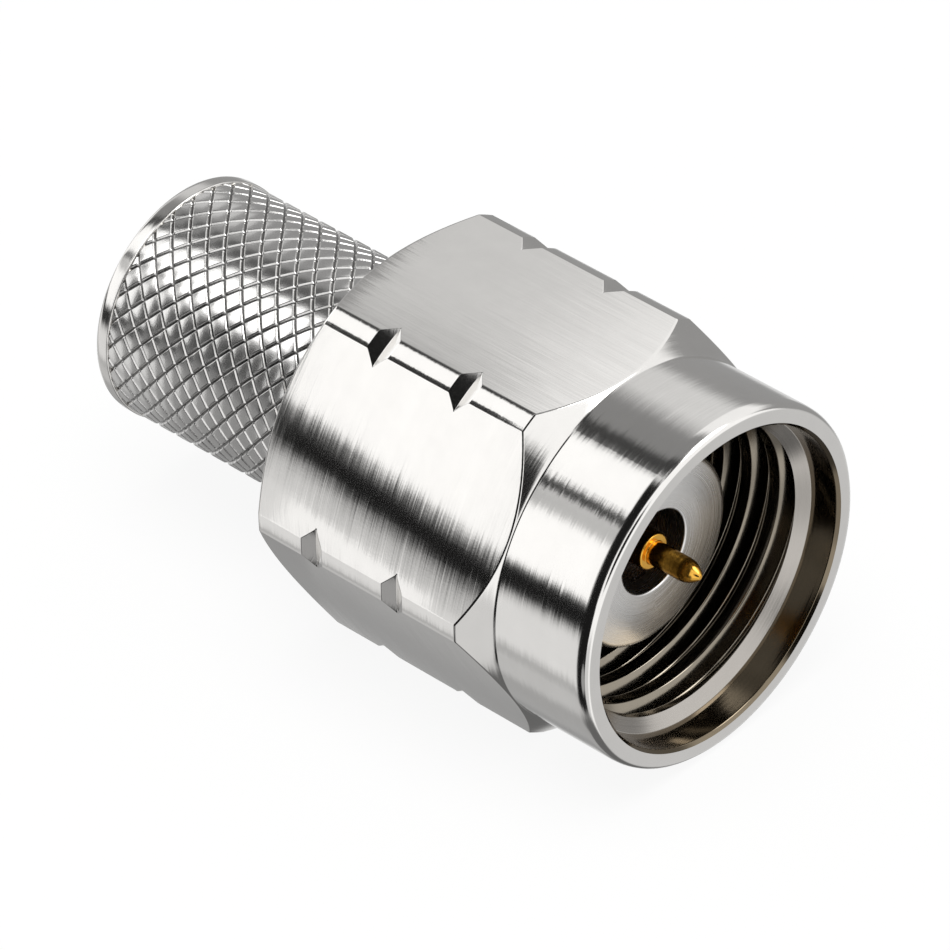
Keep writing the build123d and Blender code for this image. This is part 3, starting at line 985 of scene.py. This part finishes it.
        # The counterbore, mouth and thread carry painted shade in their darker steel.
        wall = to_mesh("nut_counterbore", self.counterbore(), BORE_SHADED_STEEL.material())
        mouth = to_mesh("nut_mouth", self.mouth(), MOUTH_SHADED_STEEL.material())
        thread = to_mesh("nut_thread", self.thread(), THREAD_SHADED_STEEL.material())
        for piece in (outside, wall, mouth, thread):
            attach(piece, Body.NUT.value)
            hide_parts("coupling_nut")
        return [outside, wall, mouth, thread]


CUT_NEAR = 1e-6       # largest way of a vertex from a cut that passes through it


@dataclass
class KnurledSleeve:
    """Rear barrel with the diamond knurl, a plain rounded lip, a closed end and the neck.

    around is the number of diamonds round the barrel, pitch their length, turn the angle of
    the first one in degrees and lines the places of a diamond's grid lines from one groove
    to the next. profile is a groove's half section: places from its middle, in diamonds, and
    how much of the depth it has risen there.
    """

    radius: float = 2.65
    depth: float = 0.055
    around: int = 28
    pitch: float = 0.498
    rows: int = 11
    turn: float = 3.5
    front: float = -7.295
    lip_front: float = -12.663
    lip_r: float = 2.68
    lip_round: float = 0.14
    lip_front_round: float = 0.03
    lip_inside: float = 0.02
    under_lip: float = 0.05
    rear: float = -13.023
    neck_r: float = 2.50
    neck_front: float = -4.90
    neck_bore: float = 2.06
    neck_round: float = 0.02
    profile: tuple[tuple[float, ...], tuple[float, ...]] = (
        (0.0, 0.02, 0.11, 0.15), (0.0, 0.04, 0.90, 1.0))
    lines: tuple[float, ...] = (0.0, 0.025, 0.095, 0.14, 0.5, 0.86, 0.905, 0.975, 1.0)

    def knurl(self) -> Patch:
        """Diamonds between two families of helical V grooves.

        With p the station over the pitch and q the turn over one diamond's, the grooves
        are where p+q or p-q is a whole number and a half. A point's radius is the smaller
        of the two groove profiles there, each of which rises from its bottom in a straight
        flank and rounds over to the barrel's radius. Each diamond has a grid of its own in
        p+q and p-q.

        Returns:
            The surface between the nut's rear and the lip, ends not yet cut.
        """
        rear = self.front - self.rows * self.pitch
        s = np.array(self.lines)
        rise = np.interp(np.minimum(s, 1 - s), *self.profile)
        level = self.radius - self.depth + self.depth * rise
        n = len(s)
        c = np.arange(-1, 2 * self.rows + 2)
        k = np.arange(self.around)
        p_mid = np.repeat(c[:, None] / 2, self.around, 1).ravel()
        q_mid = ((c[:, None] % 2) / 2 + k[None, :]).ravel()
        du = s[:, None] - 0.5
        dv = s[None, :] - 0.5
        x = rear + (p_mid[:, None, None] + (du + dv) / 2) * self.pitch
        q = q_mid[:, None, None] + (du - dv) / 2
        angle = q * TURN / self.around + math.radians(self.turn)
        points = around_axis(x, np.minimum(level[:, None], level[None, :]), angle)
        first = (np.arange(len(p_mid)) * n * n)[:, None, None]
        quads = (cells(n, n)[:, [0, 3, 2, 1]] + first).reshape(-1, 4)
        flat = np.stack([x, angle * self.radius], -1).reshape(-1, 2)
        return Patch(points, quads, flat[quads])

    def trimmed(self, patch: Patch) -> Patch:
        """Cut the knurl at the lip and at its front end, where it gets a small chamfer.

        Args:
            patch: the knurl.

        Returns:
            The knurl between its two ends.
        """
        points, quads = weld(patch.points, patch.quads)
        blank = bpy.data.meshes.new("knurl_blank")
        blank.from_pydata(points.tolist(), [], quads.tolist())
        blank.uv_layers.new(name="UVMap").data.foreach_set("uv", patch.uv.astype(np.float32).ravel())
        form = bmesh.new()
        form.from_mesh(blank)
        for station, outward in ((self.front, 1.0), (self.lip_front - self.under_lip, -1.0)):
            bmesh.ops.bisect_plane(
                form, geom=form.verts[:] + form.edges[:] + form.faces[:], dist=CUT_NEAR,
                plane_co=(station, 0, 0), plane_no=(outward, 0, 0), clear_outer=True)
        bmesh.ops.triangulate(form, faces=[f for f in form.faces if len(f.verts) > 4])
        form.to_mesh(blank)
        form.free()

        places = values(blank.vertices, "co", 3, np.float32).astype(float)
        corners = values(blank.loops, "vertex_index", 1, np.int32)[:, 0]
        maps = values(blank.uv_layers["UVMap"].data, "uv", 2, np.float32)
        starts = values(blank.polygons, "loop_start", 1, np.int32)
        sides = values(blank.polygons, "loop_total", 1, np.int32)
        bpy.data.meshes.remove(blank)
        at = starts + np.minimum(np.arange(4), sides - 1)
        quads, uv = corners[at], maps[at]
        r = np.hypot(places[:, 1], places[:, 2])
        end = self.radius - self.depth + np.clip(self.front - places[:, 0], 0, 1)
        places[:, 1:] *= (np.minimum(r, end) / r)[:, None]
        return Patch(places, quads, uv)

    def ends(self) -> Patch:
        """Neck and front face, and at the rear the rounded lip and the closed end.

        Returns:
            The two turned surfaces.
        """
        low = self.radius - self.depth
        neck = lathe([
            (self.neck_front, self.neck_bore, 0.0),
            (self.neck_front, self.neck_r, self.neck_round),
            (self.front, self.neck_r, 0.0), (self.front, low, 0.0)])
        lip = lathe([
            (self.lip_front, low - self.lip_inside, 0.0),
            (self.lip_front, self.lip_r, self.lip_front_round),
            (self.rear, self.lip_r, self.lip_round), (self.rear, 0.0, 0.0)])
        return join([neck, lip])

    def build(self) -> list[bpy.types.Object]:
        """Make the knurl and the plain ends, which stand for the sleeve's node.

        Returns:
            The two pieces.
        """
        knurl = to_mesh("sleeve_knurl", self.trimmed(self.knurl()), KNURL_STEEL.material())
        # The groove attribute is the depth share in the grooves. It drives the painted shade at their
        # bottoms.
        places = values(knurl.data.vertices, "co", 3, np.float32)
        r = np.hypot(places[:, 1], places[:, 2]) / MM
        layer = knurl.data.attributes.new("groove", "FLOAT", "POINT")
        layer.data.foreach_set("value", ((self.radius - r) / self.depth).astype(np.float32))
        ends = to_mesh("sleeve_ends", self.ends(), LIP_STEEL.material())
        for piece in (knurl, ends):
            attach(piece, Body.LOAD.value)
            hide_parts("knurled_sleeve")
        return [knurl, ends]


@dataclass
class Ferrule:
    """Outer conductor: the mating face round the bore, flange with ring groove, spigot."""

    radius: float = 2.12
    edge_round: float = 0.12
    bore: float = 0.925
    bore_round: float = 0.05
    flange: float = 2.70
    flange_round: float = 0.04
    flange_front: float = -2.55
    flange_rear: float = -4.90
    ring_groove: tuple[float, float, float] = (-3.09, -3.61, 2.39)
    spigot: float = 2.05
    end: float = -6.40
    chamber: float = 1.50
    step: float = -1.60

    def build(self) -> list[bpy.types.Object]:
        """Make the ferrule, which stands for its node.

        Returns:
            The one piece.
        """
        groove_front, groove_rear, groove_r = self.ring_groove
        patch = lathe([
            (self.end, self.chamber, 0.0), (self.step, self.chamber, 0.0),
            (self.step, self.bore, 0.0), (0.0, self.bore, self.bore_round),
            (0.0, self.radius, self.edge_round), (self.flange_front, self.radius, 0.0),
            (self.flange_front, self.flange, self.flange_round),
            (groove_front, self.flange, 0.0), (groove_front, groove_r, 0.0),
            (groove_rear, groove_r, 0.0), (groove_rear, self.flange, 0.0),
            (self.flange_rear, self.flange, self.flange_round),
            (self.flange_rear, self.spigot, 0.0), (self.end, self.spigot, 0.0),
            (self.end, self.chamber, 0.0)])
        piece = to_mesh("ferrule", patch, FACE_STEEL.material())
        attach(piece, Body.LOAD.value)
        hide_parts("outer_conductor")
        return [piece]


@dataclass
class ContactPin:
    """Gold centre pin: round nose, straight pin, shoulder, inner conductor and stud."""

    tip: float = 1.23
    nose: float = 0.44
    radius: float = 0.2555
    tip_r: float = 0.05
    tip_round: float = 0.03
    nose_steps: int = 14
    foot_round: float = 0.02
    shoulder: float = 0.402
    shoulder_round: float = 0.045
    core_end: float = -1.65
    core_round: float = 0.01
    neck: float = 0.29
    neck_end: float = -2.25
    stud: float = 0.20
    end: float = -2.67
    columns: int = 96

    def build(self) -> list[bpy.types.Object]:
        """Make the pin, which stands for its node.

        The nose is a circular arc that leaves the straight pin along its side.

        Returns:
            The one piece.
        """
        rise = self.radius - self.tip_r
        arc_r = (self.nose**2 + rise**2) / (2 * rise)
        sweep = math.asin(self.nose / arc_r)
        turn = np.linspace(sweep, 0, self.nose_steps)
        start = self.tip - self.nose
        nose = [(start + arc_r * math.sin(a), self.radius - arc_r * (1 - math.cos(a)), 0.0)
                for a in turn]
        nose[0] = (self.tip, self.tip_r, self.tip_round)
        corners = [
            (self.tip, 0.0, 0.0), *nose, (0.0, self.radius, self.foot_round),
            (0.0, self.shoulder, self.shoulder_round),
            (self.core_end, self.shoulder, self.core_round),
            (self.core_end, self.neck, 0.0), (self.neck_end, self.neck, 0.0),
            (self.neck_end, self.stud, 0.0), (self.end, self.stud, 0.0), (self.end, 0.0, 0.0)]
        piece = to_mesh("contact_pin", lathe(corners, self.columns), GOLD.material())
        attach(piece, Body.LOAD.value)
        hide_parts("centre_pin")
        return [piece]


@dataclass
class InnerPieces:
    """Pieces inside the body and the nut, which keep their solids and get their finishes."""

    finishes: dict[str, Solid] = field(default_factory=lambda: {
        "retaining_ring": SPRING_BRONZE, "bead_ring": INNER_BRASS, "support_bead": BEAD,
        "contact_socket": INNER_GOLD, "clamp_bushing": INNER_BRASS, "load_housing": INNER_BRASS,
        "resistor_rod": CERAMIC, "front_cap": INNER_GOLD, "rear_cap": INNER_GOLD,
        "ground_collet": SPRING_BRONZE, "lock_ring": INNER_BRASS, "spring_seat": SPRING_STEEL,
        "load_spring": SPRING_STEEL})

    def dress(self) -> None:
        """Give each solid its material."""
        for name, finish in self.finishes.items():
            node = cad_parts[name]
            node.data.materials.clear()
            node.data.materials.append(finish.material())


# Studio

ANY_X = (-1.0, 1.0)   # bounds that no direction's X part passes
X_BLUR = 0.05         # half width of the soft edge that bounds a panel along X


@dataclass(frozen=True)
class Panel:
    """Long panel of the light tent beside the object, seen only in reflections.

    It runs along X. start and end are its angles round the X axis in degrees, from +Y
    towards +Z, level is its brightness, soft the width of its edges in degrees, and ahead
    the least and the greatest X part of the directions in which it is seen.
    """

    start: float
    end: float
    level: float
    soft: float = 6.0
    ahead: tuple[float, float] = ANY_X

    def share(self, nodes: Nodes, unit: object, angle: object) -> bpy.types.NodeSocket:
        """How much of the panel is seen in a direction: 1 inside, 0 outside, soft between.

        Args:
            nodes: the tent material's nodes.
            unit: the direction.
            angle: its angle round X in degrees.

        Returns:
            The share.
        """
        middle, half = (self.start + self.end) / 2, (self.end - self.start) / 2
        off = nodes.math("WRAP", nodes.math("SUBTRACT", angle, middle), 180.0, -180.0)
        seen = nodes.span(nodes.math("ABSOLUTE", off), half - self.soft / 2,
                          half + self.soft / 2, 1.0, 0.0)
        if self.ahead == ANY_X:
            return seen
        split = nodes.add("ShaderNodeSeparateXYZ")
        nodes.link(unit, split.inputs[0])
        for end, before, behind in zip(self.ahead, (0.0, 1.0), (1.0, 0.0)):
            edge = nodes.span(split.outputs["X"], end - X_BLUR, end + X_BLUR, before, behind)
            seen = nodes.math("MULTIPLY", seen, edge)
        return seen


@dataclass(frozen=True)
class Card:
    """Round card in the light tent, seen only in reflections.

    towards is the direction of its middle, reach its half angle and soft the width of its
    edge, both in degrees, and level its brightness.
    """

    towards: tuple[float, float, float]
    reach: float
    level: float
    soft: float = 8.0

    def share(self, nodes: Nodes, unit: object, angle: object) -> bpy.types.NodeSocket:
        """How much of the card is seen in a direction: 1 inside, 0 outside, soft between.

        Args:
            nodes: the tent material's nodes.
            unit: the direction.
            angle: its angle round X in degrees, which only a panel needs.

        Returns:
            The share.
        """
        middle = Vector(self.towards).normalized()
        near = nodes.vector("DOT_PRODUCT", unit, tuple(middle))
        outer, inner = (math.cos(math.radians(self.reach + s * self.soft / 2)) for s in (1, -1))
        return nodes.span(near, outer, inner)


@dataclass(frozen=True)
class Hood:
    """Part of a cylinder of light near the object, seen only in reflections.

    x_low and x_high are its ends, start and end its angles round X in degrees, base its
    brightness, and panels the parts of it that have another one.
    """

    x_low: float
    x_high: float
    start: float
    end: float
    base: float
    panels: tuple[Panel, ...] = ()
    radius: float = 12.0

    def mesh(self, name: str, columns: int = 72) -> bpy.types.Mesh:
        """Make its strip of faces.

        Args:
            name: name of the mesh.
            columns: number of faces round the axis.

        Returns:
            The mesh.
        """
        turn = np.radians(np.linspace(self.start, self.end, columns + 1))
        points = around_axis(np.array([[self.x_low], [self.x_high]]), self.radius, turn)
        quads = cells(2, columns + 1)[:, [0, 3, 2, 1]]
        made = bpy.data.meshes.new(name)
        made.from_pydata((points * MM).tolist(), [], quads.tolist())
        return made


@dataclass
class Studio:
    """Pale floor, white surroundings, a light tent of panels and cards, a lamp and the camera.

    even_light is the strength of the surroundings where they only light the part. own_white
    is the share of the floor's colour that the camera sees as white of its own. The lamp's
    size and place are in metres. focal and image are the camera's focal length and the
    width of its picture in one unit, eye is its place, and right, down and ahead are the
    directions of its view.
    """

    even_light: float = 0.65
    floor_z: float = -4.0
    floor_radius: float = 450.0
    floor_sides: int = 96
    floor_colour: Colour = (0.86, 0.86, 0.85)
    floor_roughness: float = 0.9
    own_white: float = 0.9
    lamp_size: float = 0.25
    lamp_power: float = 0.66
    lamp_place: tuple[float, float, float] = (0.03, -0.05, 0.30)
    tent_radius: float = 500.0
    tent_grid: tuple[int, int] = (48, 96)
    base: float = 0.34
    tent: tuple[Panel | Card, ...] = (
        Panel(-62, -27, 0.75, 14.0),
        Panel(24, 54, 0.70, 14.0),
        Panel(20, 64, 1.05, 14.0, (-0.50, 1.1)),
        Panel(62, 84, 0.27, 8.0),
        Panel(82.5, 95.5, 0.05, 6.0),
        Panel(95, 178, 1.25, 6.0),
        Panel(123.5, 131, 0.03, 4.0),
        Panel(131, 142, 0.60, 6.0),
        Panel(178, 196, 0.01, 7.0),
        Panel(197, 232, 0.85, 12.0),
        Panel(236, 266, 0.60, 14.0),
        Panel(98, 240, 0.012, 8.0, (-0.40, 0.44)),
        Card((0.10, -0.78, -0.61), 9.0, 0.38, 5.0),
        Panel(-190, 190, 1.15, 6.0, (0.50, 1.1)),
        Card((0.0, 0.0, -1.0), 30.0, 0.15, 12.0),
        Panel(258, 284, 0.42, 10.0, (-0.75, -0.35)),
        Card((0.55, 0.57, -0.61), 32.0, 0.64, 14.0),
        Card((0.60, -0.51, -0.61), 20.0, 0.75, 10.0),
        Card((0.87, -0.37, 0.30), 17.0, 0.012, 7.0),
        Card((-0.98, 0.12, 0.16), 16.0, 1.20, 8.0),
        Card((-0.79, 0.08, -0.61), 10.0, 0.80, 6.0),
        Card((0.46, 0.42, 0.78), 14.0, 4.5, 6.0),
    )
    hoods: tuple[Hood, ...] = (
        Hood(-18.8, -13.3, 0, 360, 0.33, (
            Panel(76, 94, 0.10, 8.0),
            Panel(100, 137, 1.95, 10.0),
            Panel(142, 190, 0.24, 12.0),
            Panel(146, 175, 0.10, 10.0))),
        Hood(-12.2, -6.4, 118, 144, 0.04),
        Hood(-11.8, -6.4, 191.2, 196.5, 1.15),
    )
    focal: float = 7500.0
    image: float = 950.0
    sensor: float = 36.0
    depth_seen: tuple[float, float] = (0.01, 5.0)
    eye: tuple[float, float, float] = (78.334, -86.035, 91.895)
    right: tuple[float, float, float] = (0.73039, 0.68268, -0.02200)
    down: tuple[float, float, float] = (0.40484, -0.45862, -0.79106)
    ahead: tuple[float, float, float] = (-0.55012, 0.56887, -0.61135)

    def build_world(self) -> None:
        """White for the camera and for reflections, paler light for the rest."""
        world = bpy.data.worlds.new("surroundings")
        bpy.context.scene.world = world
        world.use_nodes = True
        world.cycles.sampling_method = "NONE"
        nodes = Nodes(world.node_tree)
        path = nodes.add("ShaderNodeLightPath")
        seen = nodes.math("MAXIMUM", path.outputs["Is Camera Ray"],
                          nodes.math("MAXIMUM", path.outputs["Is Glossy Ray"],
                                     path.outputs["Is Transmission Ray"]))
        background = world.node_tree.nodes["Background"]
        background.inputs["Color"].default_value = (1, 1, 1, 1)
        nodes.link(nodes.math("MULTIPLY_ADD", seen, 1 - self.even_light, self.even_light),
                   background.inputs["Strength"])

    def build_floor(self) -> None:
        """Pale disc under the part: partly its own white for the camera, partly lit."""
        turn = np.linspace(0, TURN, self.floor_sides, endpoint=False)
        ring = np.stack([np.cos(turn), np.sin(turn), np.zeros_like(turn)], -1) * self.floor_radius
        ring[:, 2] = self.floor_z
        mesh = bpy.data.meshes.new("floor")
        mesh.from_pydata((ring * MM).tolist(), [], [list(range(self.floor_sides))])
        made, nodes, shader = start_material("pale_floor", 0.0)
        shader.inputs["Base Color"].default_value = (*self.floor_colour, 1)
        shader.inputs["Roughness"].default_value = self.floor_roughness
        shader.inputs["Specular IOR Level"].default_value = 0.0
        white = nodes.add("ShaderNodeEmission")
        path = nodes.add("ShaderNodeLightPath")
        mix = nodes.add("ShaderNodeMixShader")
        nodes.link(nodes.math("MULTIPLY", path.outputs["Is Camera Ray"], self.own_white),
                   mix.inputs[0])
        nodes.link(shader.outputs[0], mix.inputs[1])
        nodes.link(white.outputs[0], mix.inputs[2])
        nodes.link(mix.outputs[0], made.node_tree.nodes["Material Output"].inputs["Surface"])
        mesh.materials.append(made)
        floor = bpy.data.objects.new("floor", mesh)
        floor.visible_glossy = False
        bpy.context.scene.collection.objects.link(floor)

    def light(self, mesh: bpy.types.Mesh, base: float, pieces: tuple[Panel | Card, ...]) -> None:
        """Make a light surface that only reflections see, with its brightness by direction.

        Each panel or card in turn covers what is there.

        Args:
            mesh: its mesh, whose origin is the point that directions are measured from.
            base: its brightness where no piece is.
            pieces: its panels and cards.
        """
        made = bpy.data.materials.new(mesh.name)
        made.use_nodes = True
        nodes = Nodes(made.node_tree)
        place = nodes.add("ShaderNodeTexCoord").outputs["Object"]
        unit = nodes.vector("NORMALIZE", place)
        split = nodes.add("ShaderNodeSeparateXYZ")
        nodes.link(unit, split.inputs[0])
        angle = nodes.math("MULTIPLY", nodes.math("ARCTAN2", split.outputs["Z"],
                                                  split.outputs["Y"]), 180 / math.pi)
        total: object = base
        for piece in pieces:
            share = piece.share(nodes, unit, angle)
            total = nodes.math("MULTIPLY_ADD", share, nodes.math("SUBTRACT", piece.level, total), total)
        light = nodes.add("ShaderNodeEmission")
        nodes.link(total, light.inputs["Strength"])
        nodes.link(light.outputs[0], made.node_tree.nodes["Material Output"].inputs["Surface"])
        mesh.materials.append(made)
        surface = bpy.data.objects.new(mesh.name, mesh)
        bpy.context.scene.collection.objects.link(surface)
        surface.visible_camera = False
        surface.visible_diffuse = False
        surface.visible_shadow = False
        surface.visible_transmission = False

    def build_tent(self) -> None:
        """Sphere of panels and cards round everything, and the hoods close to the object."""
        rows, columns = self.tent_grid
        lat = np.linspace(-math.pi / 2, math.pi / 2, rows)[:, None]
        lon = np.linspace(0, TURN, columns, endpoint=False)
        parts = np.broadcast_arrays(np.cos(lat) * np.cos(lon), np.cos(lat) * np.sin(lon), np.sin(lat))
        points = np.stack(parts, -1).reshape(-1, 3) * self.tent_radius
        quads = cells(rows, columns, closed=True)
        mesh = bpy.data.meshes.new("light_tent")
        mesh.from_pydata((points * MM).tolist(), [], quads.tolist())
        self.light(mesh, self.base, self.tent)
        for number, hood in enumerate(self.hoods, 1):
            self.light(hood.mesh(f"light_hood_{number}"), hood.base, hood.panels)

    def build_lamp(self) -> None:
        """Large soft lamp overhead, which lights the floor and gives the soft shadow."""
        data = bpy.data.lights.new("soft_lamp", "AREA")
        data.shape = "DISK"
        data.size = self.lamp_size
        data.energy = self.lamp_power
        lamp = bpy.data.objects.new("soft_lamp", data)
        lamp.location = self.lamp_place
        lamp.rotation_mode = "QUATERNION"
        lamp.rotation_quaternion = (-lamp.location).to_track_quat("-Z", "Y")
        lamp.visible_glossy = False
        bpy.context.scene.collection.objects.link(lamp)

    def build_camera(self) -> None:
        """Camera at the eye, whose right, up and back directions are the columns of its turn."""
        data = bpy.data.cameras.new("camera")
        data.sensor_width = self.sensor
        data.lens = self.focal / self.image * self.sensor
        data.clip_start, data.clip_end = self.depth_seen
        camera = bpy.data.objects.new("camera", data)
        right, up, back = Vector(self.right), -Vector(self.down), -Vector(self.ahead)
        turn = Matrix((right, up, back)).transposed().to_4x4()
        camera.matrix_world = Matrix.Translation(Vector(self.eye) * MM) @ turn
        bpy.context.scene.collection.objects.link(camera)
        bpy.context.scene.camera = camera

    def build(self) -> None:
        """Make the whole studio."""
        self.build_world()
        self.build_floor()
        self.build_tent()
        self.build_lamp()
        self.build_camera()


def main() -> None:
    """Build the pieces in order, then the studio."""
    logging.basicConfig(level=logging.INFO, format="%(name)s: %(message)s")
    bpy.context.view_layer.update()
    for maker in (CouplingNut(), KnurledSleeve(), Ferrule(), ContactPin()):
        for piece in maker.build():
            LOG.info("%s: %d faces", piece.name, len(piece.data.polygons))
    InnerPieces().dress()
    LOG.info("inner pieces dressed")
    Studio().build()
    LOG.info("studio built")
    bpy.context.scene.view_settings.view_transform = "Standard"


if __name__ == "__main__":
    main()
